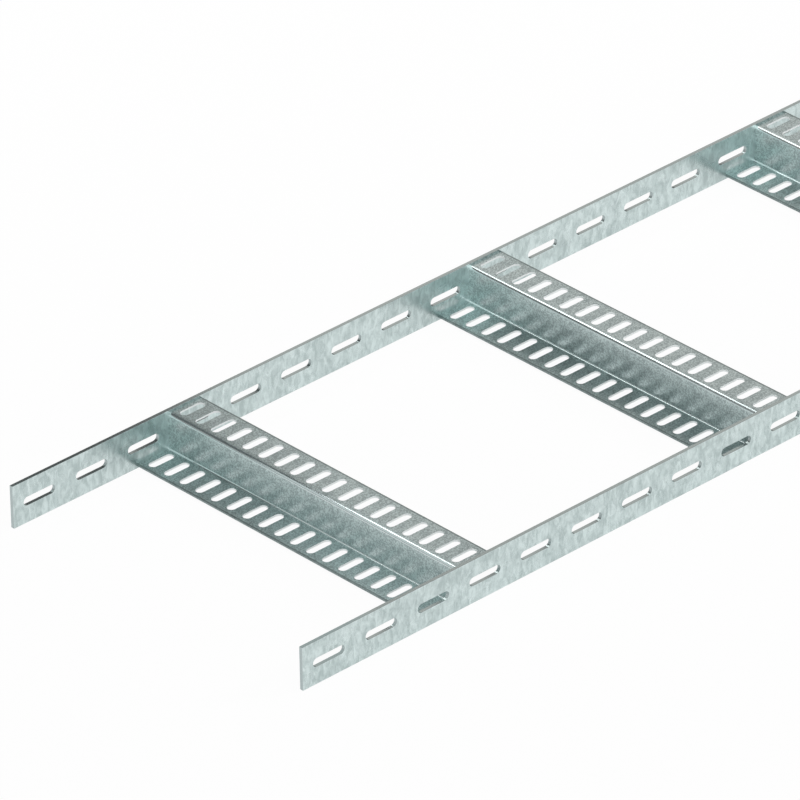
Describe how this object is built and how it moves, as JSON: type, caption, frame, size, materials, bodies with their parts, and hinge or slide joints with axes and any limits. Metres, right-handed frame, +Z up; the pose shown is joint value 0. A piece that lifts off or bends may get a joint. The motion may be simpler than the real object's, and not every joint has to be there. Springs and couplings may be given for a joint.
{
  "type": "cable ladder section",
  "caption": "Straight section of light steel cable ladder: two flat slotted side rails joined by folded, slotted rungs that carry cables.",
  "frame": {"origin": "on the floor plane of the rails' lower edges, under the middle of the section", "axes": "+X along the rails, away from the pictured end; +Y across, towards the left rail; +Z up"},
  "size_m": [3, 0.306, 0.035],
  "materials": {
    "rail_steel": "hot-dip galvanised, cloudy pale grey with vertical streaks",
    "rung_steel": "hot-dip galvanised, mid grey with fine speckle"
  },
  "bodies": {
    "root": {"side_rail_left": "rail_steel", "side_rail_right": "rail_steel", "rung_01": "rung_steel", "rung_02": "rung_steel", "rung_03": "rung_steel", "rung_04": "rung_steel", "rung_05": "rung_steel", "rung_06": "rung_steel", "rung_07": "rung_steel", "rung_08": "rung_steel", "rung_09": "rung_steel", "rung_10": "rung_steel"}
  },
  "joints": []
}
